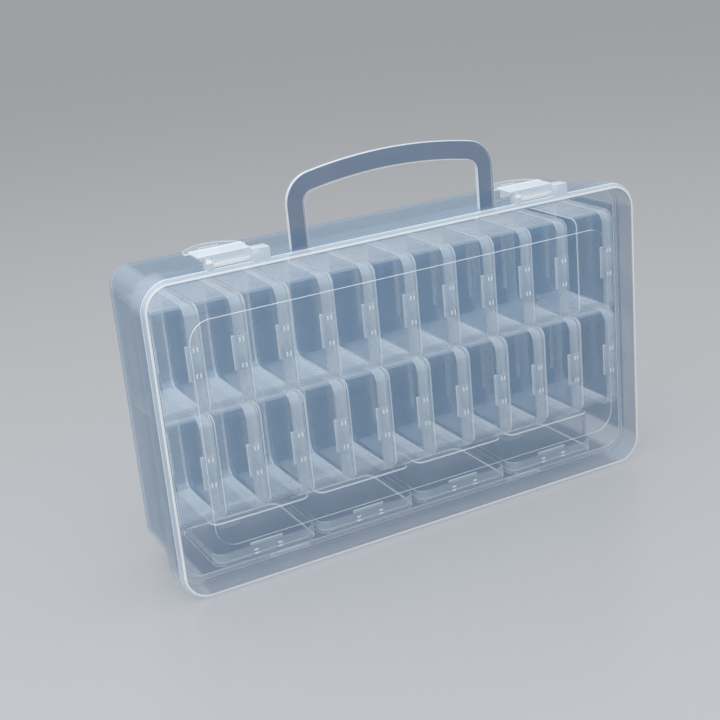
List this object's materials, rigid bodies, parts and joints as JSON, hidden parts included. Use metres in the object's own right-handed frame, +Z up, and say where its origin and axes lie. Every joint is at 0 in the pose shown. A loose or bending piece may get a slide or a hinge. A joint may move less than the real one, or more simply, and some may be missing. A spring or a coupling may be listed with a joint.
{
  "type": "compartment organizer case",
  "caption": "Clear plastic carrying case with a hinged lid, two latches and a pull-up handle, packed with rows of thin flip-lid boxes for small craft parts.",
  "frame": {"origin": "middle of the underside of the whole object, on the floor it stands on", "axes": "+X along the long side of the case, -Y out of the lid's front, +Z up"},
  "size_m": [0.2282, 0.0546, 0.1649],
  "materials": {
    "case_plastic": "clear moulded polypropylene, slightly hazy",
    "handle_plastic": "clear moulded polypropylene, polished",
    "latch_plastic": "clear moulded polypropylene, thick and milky",
    "box_base_plastic": "clear moulded polypropylene, slightly milky",
    "box_lid_plastic": "clear moulded polypropylene, milky"
  },
  "bodies": {
    "tray": {"case_tray": "case_plastic"},
    "lid": {"case_lid": "case_plastic"},
    "handle": {"handle": "handle_plastic"},
    "latch_left": {"latch_left": "latch_plastic"},
    "latch_right": {"latch_right": "latch_plastic"},
    "upper_box_01": {"upper_box_01_base": "box_base_plastic", "upper_box_01_lid": "box_lid_plastic"},
    "upper_box_02": {"upper_box_02_base": "box_base_plastic", "upper_box_02_lid": "box_lid_plastic"},
    "upper_box_03": {"upper_box_03_base": "box_base_plastic", "upper_box_03_lid": "box_lid_plastic"},
    "upper_box_04": {"upper_box_04_base": "box_base_plastic", "upper_box_04_lid": "box_lid_plastic"},
    "upper_box_05": {"upper_box_05_base": "box_base_plastic", "upper_box_05_lid": "box_lid_plastic"},
    "upper_box_06": {"upper_box_06_base": "box_base_plastic", "upper_box_06_lid": "box_lid_plastic"},
    "upper_box_07": {"upper_box_07_base": "box_base_plastic", "upper_box_07_lid": "box_lid_plastic"},
    "upper_box_08": {"upper_box_08_base": "box_base_plastic", "upper_box_08_lid": "box_lid_plastic"},
    "upper_box_09": {"upper_box_09_base": "box_base_plastic", "upper_box_09_lid": "box_lid_plastic"},
    "upper_box_10": {"upper_box_10_base": "box_base_plastic", "upper_box_10_lid": "box_lid_plastic"},
    "upper_box_11": {"upper_box_11_base": "box_base_plastic", "upper_box_11_lid": "box_lid_plastic"},
    "lower_box_01": {"lower_box_01_base": "box_base_plastic", "lower_box_01_lid": "box_lid_plastic"},
    "lower_box_02": {"lower_box_02_base": "box_base_plastic", "lower_box_02_lid": "box_lid_plastic"},
    "lower_box_03": {"lower_box_03_base": "box_base_plastic", "lower_box_03_lid": "box_lid_plastic"},
    "lower_box_04": {"lower_box_04_base": "box_base_plastic", "lower_box_04_lid": "box_lid_plastic"},
    "lower_box_05": {"lower_box_05_base": "box_base_plastic", "lower_box_05_lid": "box_lid_plastic"},
    "lower_box_06": {"lower_box_06_base": "box_base_plastic", "lower_box_06_lid": "box_lid_plastic"},
    "lower_box_07": {"lower_box_07_base": "box_base_plastic", "lower_box_07_lid": "box_lid_plastic"},
    "lower_box_08": {"lower_box_08_base": "box_base_plastic", "lower_box_08_lid": "box_lid_plastic"},
    "lower_box_09": {"lower_box_09_base": "box_base_plastic", "lower_box_09_lid": "box_lid_plastic"},
    "lower_box_10": {"lower_box_10_base": "box_base_plastic", "lower_box_10_lid": "box_lid_plastic"},
    "lower_box_11": {"lower_box_11_base": "box_base_plastic", "lower_box_11_lid": "box_lid_plastic"},
    "flat_box_01": {"flat_box_01_base": "box_base_plastic", "flat_box_01_lid": "box_lid_plastic"},
    "flat_box_02": {"flat_box_02_base": "box_base_plastic", "flat_box_02_lid": "box_lid_plastic"},
    "flat_box_03": {"flat_box_03_base": "box_base_plastic", "flat_box_03_lid": "box_lid_plastic"},
    "flat_box_04": {"flat_box_04_base": "box_base_plastic", "flat_box_04_lid": "box_lid_plastic"}
  },
  "joints": [
    {"name": "lid_hinge", "type": "hinge", "parent": "tray", "child": "lid", "pos_m": [0, -0.0098, 0.00145], "axis": [1, 0, 0], "range_deg": [0, 180]},
    {"name": "latch_left_hinge", "type": "hinge", "parent": "lid", "child": "latch_left", "pos_m": [-0.0733, -0.0238, 0.1351], "axis": [1, 0, 0], "range_deg": [0, 90]},
    {"name": "latch_right_hinge", "type": "hinge", "parent": "lid", "child": "latch_right", "pos_m": [0.0656, -0.0238, 0.1351], "axis": [1, 0, 0], "range_deg": [0, 90]},
    {"name": "handle_slide", "type": "slide", "parent": "lid", "child": "handle", "axis": [0, 0, 1], "range_m": [-0.016, 0]},
    {"name": "slide_upper_01", "type": "slide", "parent": "tray", "child": "upper_box_01", "axis": [0, -1, 0], "range_m": [0, 0.006]},
    {"name": "slide_upper_02", "type": "slide", "parent": "tray", "child": "upper_box_02", "axis": [0, -1, 0], "range_m": [0, 0.006]},
    {"name": "slide_upper_03", "type": "slide", "parent": "tray", "child": "upper_box_03", "axis": [0, -1, 0], "range_m": [0, 0.006]},
    {"name": "slide_upper_04", "type": "slide", "parent": "tray", "child": "upper_box_04", "axis": [0, -1, 0], "range_m": [0, 0.006]},
    {"name": "slide_upper_05", "type": "slide", "parent": "tray", "child": "upper_box_05", "axis": [0, -1, 0], "range_m": [0, 0.006]},
    {"name": "slide_upper_06", "type": "slide", "parent": "tray", "child": "upper_box_06", "axis": [0, -1, 0], "range_m": [0, 0.006]},
    {"name": "slide_upper_07", "type": "slide", "parent": "tray", "child": "upper_box_07", "axis": [0, -1, 0], "range_m": [0, 0.006]},
    {"name": "slide_upper_08", "type": "slide", "parent": "tray", "child": "upper_box_08", "axis": [0, -1, 0], "range_m": [0, 0.006]},
    {"name": "slide_upper_09", "type": "slide", "parent": "tray", "child": "upper_box_09", "axis": [0, -1, 0], "range_m": [0, 0.006]},
    {"name": "slide_upper_10", "type": "slide", "parent": "tray", "child": "upper_box_10", "axis": [0, -1, 0], "range_m": [0, 0.006]},
    {"name": "slide_upper_11", "type": "slide", "parent": "tray", "child": "upper_box_11", "axis": [0, -1, 0], "range_m": [0, 0.006]},
    {"name": "slide_lower_01", "type": "slide", "parent": "tray", "child": "lower_box_01", "axis": [0, -1, 0], "range_m": [0, 0.006]},
    {"name": "slide_lower_02", "type": "slide", "parent": "tray", "child": "lower_box_02", "axis": [0, -1, 0], "range_m": [0, 0.006]},
    {"name": "slide_lower_03", "type": "slide", "parent": "tray", "child": "lower_box_03", "axis": [0, -1, 0], "range_m": [0, 0.006]},
    {"name": "slide_lower_04", "type": "slide", "parent": "tray", "child": "lower_box_04", "axis": [0, -1, 0], "range_m": [0, 0.006]},
    {"name": "slide_lower_05", "type": "slide", "parent": "tray", "child": "lower_box_05", "axis": [0, -1, 0], "range_m": [0, 0.006]},
    {"name": "slide_lower_06", "type": "slide", "parent": "tray", "child": "lower_box_06", "axis": [0, -1, 0], "range_m": [0, 0.006]},
    {"name": "slide_lower_07", "type": "slide", "parent": "tray", "child": "lower_box_07", "axis": [0, -1, 0], "range_m": [0, 0.006]},
    {"name": "slide_lower_08", "type": "slide", "parent": "tray", "child": "lower_box_08", "axis": [0, -1, 0], "range_m": [0, 0.006]},
    {"name": "slide_lower_09", "type": "slide", "parent": "tray", "child": "lower_box_09", "axis": [0, -1, 0], "range_m": [0, 0.006]},
    {"name": "slide_lower_10", "type": "slide", "parent": "tray", "child": "lower_box_10", "axis": [0, -1, 0], "range_m": [0, 0.006]},
    {"name": "slide_lower_11", "type": "slide", "parent": "tray", "child": "lower_box_11", "axis": [0, -1, 0], "range_m": [0, 0.006]},
    {"name": "slide_flat_01", "type": "slide", "parent": "tray", "child": "flat_box_01", "axis": [0, -1, 0], "range_m": [0, 0.006]},
    {"name": "slide_flat_02", "type": "slide", "parent": "tray", "child": "flat_box_02", "axis": [0, -1, 0], "range_m": [0, 0.006]},
    {"name": "slide_flat_03", "type": "slide", "parent": "tray", "child": "flat_box_03", "axis": [0, -1, 0], "range_m": [0, 0.006]},
    {"name": "slide_flat_04", "type": "slide", "parent": "tray", "child": "flat_box_04", "axis": [0, -1, 0], "range_m": [0, 0.006]}
  ]
}
